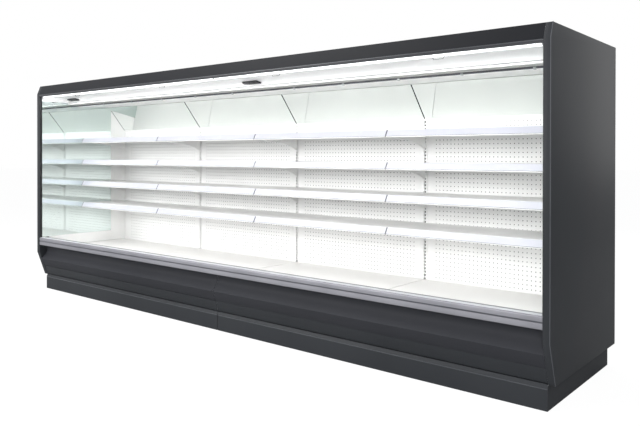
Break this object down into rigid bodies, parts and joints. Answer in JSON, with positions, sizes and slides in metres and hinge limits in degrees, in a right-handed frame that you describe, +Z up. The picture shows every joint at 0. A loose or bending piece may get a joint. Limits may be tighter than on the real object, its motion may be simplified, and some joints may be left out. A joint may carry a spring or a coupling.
{
  "type": "open multideck display fridge",
  "caption": "Long open-front multideck display fridge with tilting shelves, lift-out deck trays, mirrored ends, lit canopy and panelled plinth.",
  "frame": {"origin": "centre of the footprint on the floor", "axes": "+X along the length to the right seen from the front, +Y to the back, +Z up; the open front faces -Y"},
  "size_m": [5.08, 1.08, 1.975],
  "materials": {
    "charcoal_steel": "satin powder coat",
    "white_steel": "semi-gloss powder coat",
    "shelf_steel": "semi-gloss powder coat",
    "mirror_glass": "silvered glass with a slight green cast",
    "bumper_aluminium": "satin anodised",
    "galvanised_steel": "galvanised",
    "lamp_diffuser": "opal diffuser",
    "white_plastic": "matt",
    "black_plastic": "semi-gloss"
  },
  "bodies": {
    "cabinet": {"left_end_panel": "charcoal_steel", "left_end_mirror": "mirror_glass", "cabinet_body_left": "white_steel", "plinth_left": "charcoal_steel", "front_fascia_left": "charcoal_steel", "lower_fascia_left": "charcoal_steel", "air_honeycomb_left": "white_plastic", "temperature_display_left": "black_plastic", "evaporator_left": "galvanised_steel", "right_end_panel": "charcoal_steel", "right_end_mirror": "mirror_glass", "cabinet_body_right": "white_steel", "plinth_right": "charcoal_steel", "front_fascia_right": "charcoal_steel", "lower_fascia_right": "charcoal_steel", "air_honeycomb_right": "white_plastic", "temperature_display_right": "black_plastic", "evaporator_right": "galvanised_steel", "bumper_rail": "bumper_aluminium", "header_fascia": "charcoal_steel", "led_lamp": "lamp_diffuser", "canopy_liner": "white_steel", "ceiling_panel": "white_steel", "upright_1": "white_steel", "upright_2": "white_steel", "upright_3": "white_steel", "upright_4": "white_steel", "upright_5": "white_steel", "back_panel_1": "white_steel", "slope_mirror_1": "mirror_glass", "back_panel_2": "white_steel", "slope_mirror_2": "mirror_glass", "back_panel_3": "white_steel", "slope_mirror_3": "mirror_glass", "back_panel_4": "white_steel", "slope_mirror_4": "mirror_glass"},
    "shelf_1_1": {"shelf_1_1": "shelf_steel"},
    "shelf_1_2": {"shelf_1_2": "shelf_steel"},
    "shelf_1_3": {"shelf_1_3": "shelf_steel"},
    "shelf_1_4": {"shelf_1_4": "shelf_steel"},
    "shelf_2_1": {"shelf_2_1": "shelf_steel"},
    "shelf_2_2": {"shelf_2_2": "shelf_steel"},
    "shelf_2_3": {"shelf_2_3": "shelf_steel"},
    "shelf_2_4": {"shelf_2_4": "shelf_steel"},
    "shelf_3_1": {"shelf_3_1": "shelf_steel"},
    "shelf_3_2": {"shelf_3_2": "shelf_steel"},
    "shelf_3_3": {"shelf_3_3": "shelf_steel"},
    "shelf_3_4": {"shelf_3_4": "shelf_steel"},
    "shelf_4_1": {"shelf_4_1": "shelf_steel"},
    "shelf_4_2": {"shelf_4_2": "shelf_steel"},
    "shelf_4_3": {"shelf_4_3": "shelf_steel"},
    "shelf_4_4": {"shelf_4_4": "shelf_steel"},
    "deck_tray_1": {"deck_tray_1": "white_steel"},
    "deck_tray_2": {"deck_tray_2": "white_steel"},
    "deck_tray_3": {"deck_tray_3": "white_steel"},
    "deck_tray_4": {"deck_tray_4": "white_steel"},
    "fan_1": {"fan_1": "black_plastic"},
    "fan_2": {"fan_2": "black_plastic"},
    "fan_3": {"fan_3": "black_plastic"},
    "fan_4": {"fan_4": "black_plastic"}
  },
  "joints": [
    {"name": "shelf_1_1_lift", "type": "hinge", "parent": "cabinet", "child": "shelf_1_1", "pos_m": [-1.875, 0.418, 1.451], "axis": [-1, 0, 0], "range_deg": [0, 10]},
    {"name": "shelf_1_2_lift", "type": "hinge", "parent": "cabinet", "child": "shelf_1_2", "pos_m": [-0.625, 0.418, 1.451], "axis": [-1, 0, 0], "range_deg": [0, 10]},
    {"name": "shelf_1_3_lift", "type": "hinge", "parent": "cabinet", "child": "shelf_1_3", "pos_m": [0.625, 0.418, 1.451], "axis": [-1, 0, 0], "range_deg": [0, 10]},
    {"name": "shelf_1_4_lift", "type": "hinge", "parent": "cabinet", "child": "shelf_1_4", "pos_m": [1.875, 0.418, 1.451], "axis": [-1, 0, 0], "range_deg": [0, 10]},
    {"name": "shelf_2_1_lift", "type": "hinge", "parent": "cabinet", "child": "shelf_2_1", "pos_m": [-1.875, 0.418, 1.233], "axis": [-1, 0, 0], "range_deg": [0, 10]},
    {"name": "shelf_2_2_lift", "type": "hinge", "parent": "cabinet", "child": "shelf_2_2", "pos_m": [-0.625, 0.418, 1.233], "axis": [-1, 0, 0], "range_deg": [0, 10]},
    {"name": "shelf_2_3_lift", "type": "hinge", "parent": "cabinet", "child": "shelf_2_3", "pos_m": [0.625, 0.418, 1.233], "axis": [-1, 0, 0], "range_deg": [0, 10]},
    {"name": "shelf_2_4_lift", "type": "hinge", "parent": "cabinet", "child": "shelf_2_4", "pos_m": [1.875, 0.418, 1.233], "axis": [-1, 0, 0], "range_deg": [0, 10]},
    {"name": "shelf_3_1_lift", "type": "hinge", "parent": "cabinet", "child": "shelf_3_1", "pos_m": [-1.875, 0.418, 1.015], "axis": [-1, 0, 0], "range_deg": [0, 10]},
    {"name": "shelf_3_2_lift", "type": "hinge", "parent": "cabinet", "child": "shelf_3_2", "pos_m": [-0.625, 0.418, 1.015], "axis": [-1, 0, 0], "range_deg": [0, 10]},
    {"name": "shelf_3_3_lift", "type": "hinge", "parent": "cabinet", "child": "shelf_3_3", "pos_m": [0.625, 0.418, 1.015], "axis": [-1, 0, 0], "range_deg": [0, 10]},
    {"name": "shelf_3_4_lift", "type": "hinge", "parent": "cabinet", "child": "shelf_3_4", "pos_m": [1.875, 0.418, 1.015], "axis": [-1, 0, 0], "range_deg": [0, 10]},
    {"name": "shelf_4_1_lift", "type": "hinge", "parent": "cabinet", "child": "shelf_4_1", "pos_m": [-1.875, 0.418, 0.797], "axis": [-1, 0, 0], "range_deg": [0, 10]},
    {"name": "shelf_4_2_lift", "type": "hinge", "parent": "cabinet", "child": "shelf_4_2", "pos_m": [-0.625, 0.418, 0.797], "axis": [-1, 0, 0], "range_deg": [0, 10]},
    {"name": "shelf_4_3_lift", "type": "hinge", "parent": "cabinet", "child": "shelf_4_3", "pos_m": [0.625, 0.418, 0.797], "axis": [-1, 0, 0], "range_deg": [0, 10]},
    {"name": "shelf_4_4_lift", "type": "hinge", "parent": "cabinet", "child": "shelf_4_4", "pos_m": [1.875, 0.418, 0.797], "axis": [-1, 0, 0], "range_deg": [0, 10]},
    {"name": "deck_tray_1_lift", "type": "slide", "parent": "cabinet", "child": "deck_tray_1", "axis": [0, 0, 1], "range_m": [0, 0.12]},
    {"name": "deck_tray_2_lift", "type": "slide", "parent": "cabinet", "child": "deck_tray_2", "axis": [0, 0, 1], "range_m": [0, 0.12]},
    {"name": "deck_tray_3_lift", "type": "slide", "parent": "cabinet", "child": "deck_tray_3", "axis": [0, 0, 1], "range_m": [0, 0.12]},
    {"name": "deck_tray_4_lift", "type": "slide", "parent": "cabinet", "child": "deck_tray_4", "axis": [0, 0, 1], "range_m": [0, 0.12]},
    {"name": "fan_1_spin", "type": "hinge", "parent": "cabinet", "child": "fan_1", "pos_m": [-1.875, -0.222, 0.3], "axis": [0, 1, 0], "continuous": true},
    {"name": "fan_2_spin", "type": "hinge", "parent": "cabinet", "child": "fan_2", "pos_m": [-0.625, -0.222, 0.3], "axis": [0, 1, 0], "continuous": true},
    {"name": "fan_3_spin", "type": "hinge", "parent": "cabinet", "child": "fan_3", "pos_m": [0.625, -0.222, 0.3], "axis": [0, 1, 0], "continuous": true},
    {"name": "fan_4_spin", "type": "hinge", "parent": "cabinet", "child": "fan_4", "pos_m": [1.875, -0.222, 0.3], "axis": [0, 1, 0], "continuous": true}
  ]
}
